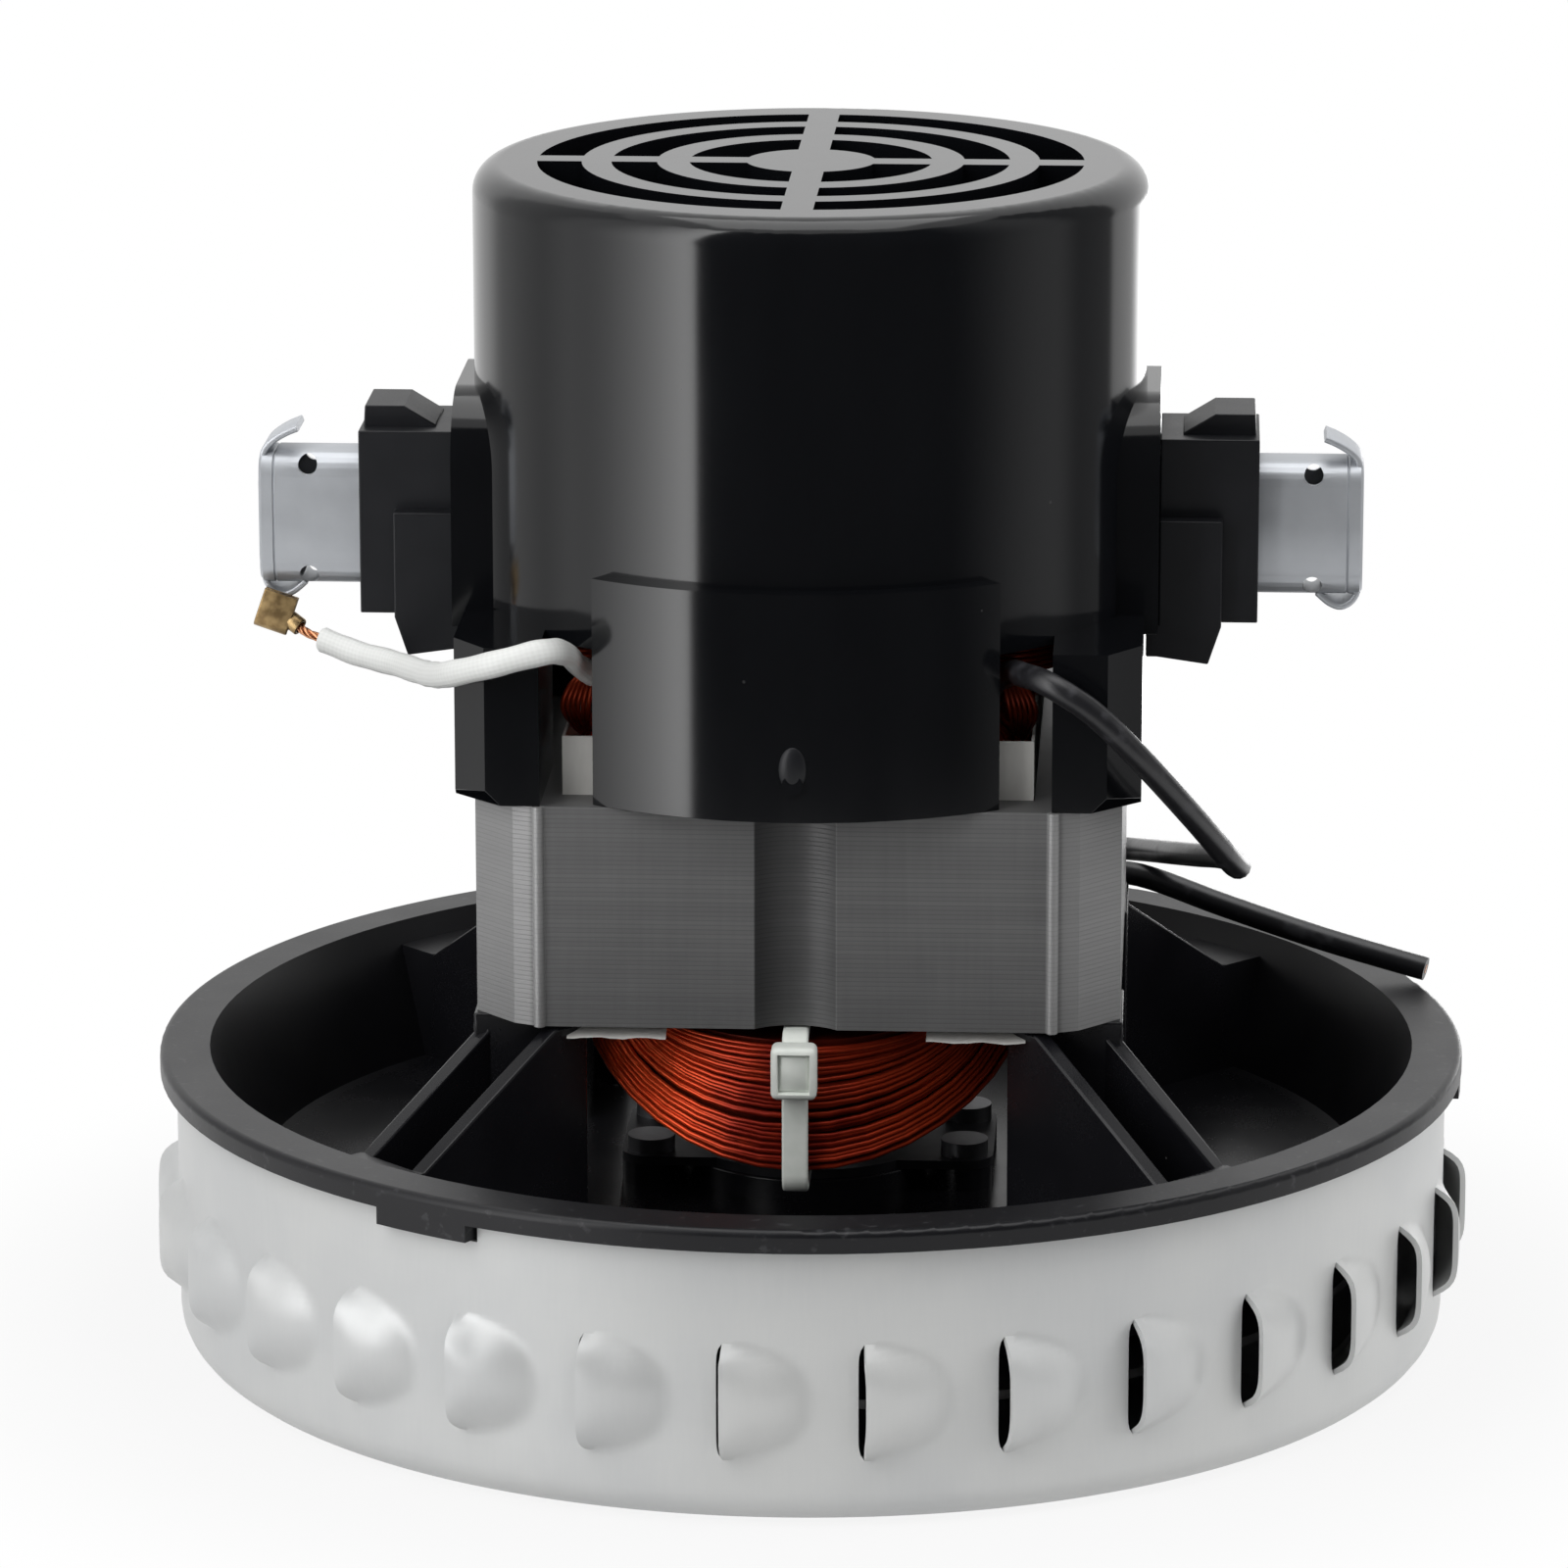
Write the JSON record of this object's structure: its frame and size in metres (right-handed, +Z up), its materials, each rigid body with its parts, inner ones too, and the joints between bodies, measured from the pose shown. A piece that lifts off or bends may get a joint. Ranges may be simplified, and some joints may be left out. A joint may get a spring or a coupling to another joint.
{
  "type": "vacuum motor unit",
  "caption": "Bypass vacuum motor: a louvred fan can and bowl bracket below a wound stator, with a black grilled cover that holds brush gear and a bearing on top.",
  "frame": {"origin": "middle of the fan can's underside", "axes": "+Z up the shaft, X along the brushes with the white sleeved lead at -X, -Y towards the front"},
  "size_m": [0.1452, 0.1448, 0.1305],
  "materials": {
    "can_sheet": "satin pressed sheet",
    "bracket_black": "black moulded plastic with a soft sheen",
    "plated_steel": "zinc plated sheet",
    "bright_steel": "bright steel",
    "lamination_steel": "stacked laminations with fine horizontal lines",
    "white_paper": "insulating paper",
    "red_enamel_wire": "red enamelled copper wire",
    "white_nylon": "translucent white nylon",
    "cover_black": "glossy black moulded plastic",
    "housing_black": "black moulded plastic",
    "carbon": "pressed carbon",
    "brass_clip": "folded brass",
    "white_sleeve": "white glass fibre sleeving",
    "black_lead": "black insulated lead",
    "bearing_steel": "ground steel",
    "cage_brass": "pressed cage",
    "hub_resin": "brown moulding resin",
    "commutator_copper": "turned copper",
    "impeller_sheet": "plain aluminium sheet"
  },
  "bodies": {
    "housing": {"fan_can": "can_sheet", "fan_bracket": "bracket_black", "bearing_retainer": "plated_steel", "retainer_screws": "bright_steel", "stator_core": "lamination_steel", "slot_papers": "white_paper", "front_field_coil": "red_enamel_wire", "rear_field_coil": "red_enamel_wire", "front_cable_tie": "white_nylon", "rear_cable_tie": "white_nylon", "through_bolts": "bright_steel", "motor_cover": "cover_black", "left_brush_housing": "housing_black", "right_brush_housing": "housing_black", "left_brush_tube": "plated_steel", "right_brush_tube": "plated_steel", "left_brush_spring": "bright_steel", "right_brush_spring": "bright_steel", "left_terminal_clip": "brass_clip", "brush_lead_sleeve": "white_sleeve", "supply_lead": "black_lead", "lower_bearing_outer_ring": "bearing_steel", "upper_bearing_outer_ring": "bearing_steel", "wave_washer": "bright_steel"},
    "rotor": {"shaft": "bearing_steel", "armature_core": "lamination_steel", "armature_winding": "red_enamel_wire", "commutator_hub": "hub_resin", "commutator_segments": "commutator_copper", "cooling_fan": "housing_black", "impeller_back_plate": "impeller_sheet", "impeller_blades": "impeller_sheet", "impeller_front_plate": "impeller_sheet", "impeller_spacer": "bright_steel", "impeller_washer": "bright_steel", "impeller_nut": "bright_steel", "lower_bearing_inner_ring": "bearing_steel", "upper_bearing_inner_ring": "bearing_steel"},
    "left_brush": {"left_carbon_brush": "carbon"},
    "right_brush": {"right_carbon_brush": "carbon"},
    "lower_rolling_set": {"lower_bearing_balls": "bearing_steel", "lower_bearing_cage": "cage_brass"},
    "upper_rolling_set": {"upper_bearing_balls": "bearing_steel", "upper_bearing_cage": "cage_brass"}
  },
  "joints": [
    {"name": "rotor_spin", "type": "hinge", "parent": "housing", "child": "rotor", "pos_m": [0, 0, 0], "axis": [0, 0, 1], "continuous": true},
    {"name": "lower_cage_roll", "type": "hinge", "parent": "housing", "child": "lower_rolling_set", "pos_m": [0, 0, 0.0165], "axis": [0, 0, 1], "continuous": true},
    {"name": "upper_cage_roll", "type": "hinge", "parent": "housing", "child": "upper_rolling_set", "pos_m": [0, 0, 0.1075], "axis": [0, 0, 1], "continuous": true},
    {"name": "left_brush_slide", "type": "slide", "parent": "housing", "child": "left_brush", "axis": [-1, 0, 0], "range_m": [0, 0.01], "stiffness_N_per_m": 100, "springref_m": -0.02, "deforming": ["left_brush_spring"]},
    {"name": "right_brush_slide", "type": "slide", "parent": "housing", "child": "right_brush", "axis": [1, 0, 0], "range_m": [0, 0.01], "stiffness_N_per_m": 100, "springref_m": -0.02, "deforming": ["right_brush_spring"]}
  ],
  "couplings": [
    {"joint": "lower_cage_roll", "follows": "rotor_spin", "ratio": 0.36667},
    {"joint": "upper_cage_roll", "follows": "rotor_spin", "ratio": 0.36667}
  ]
}
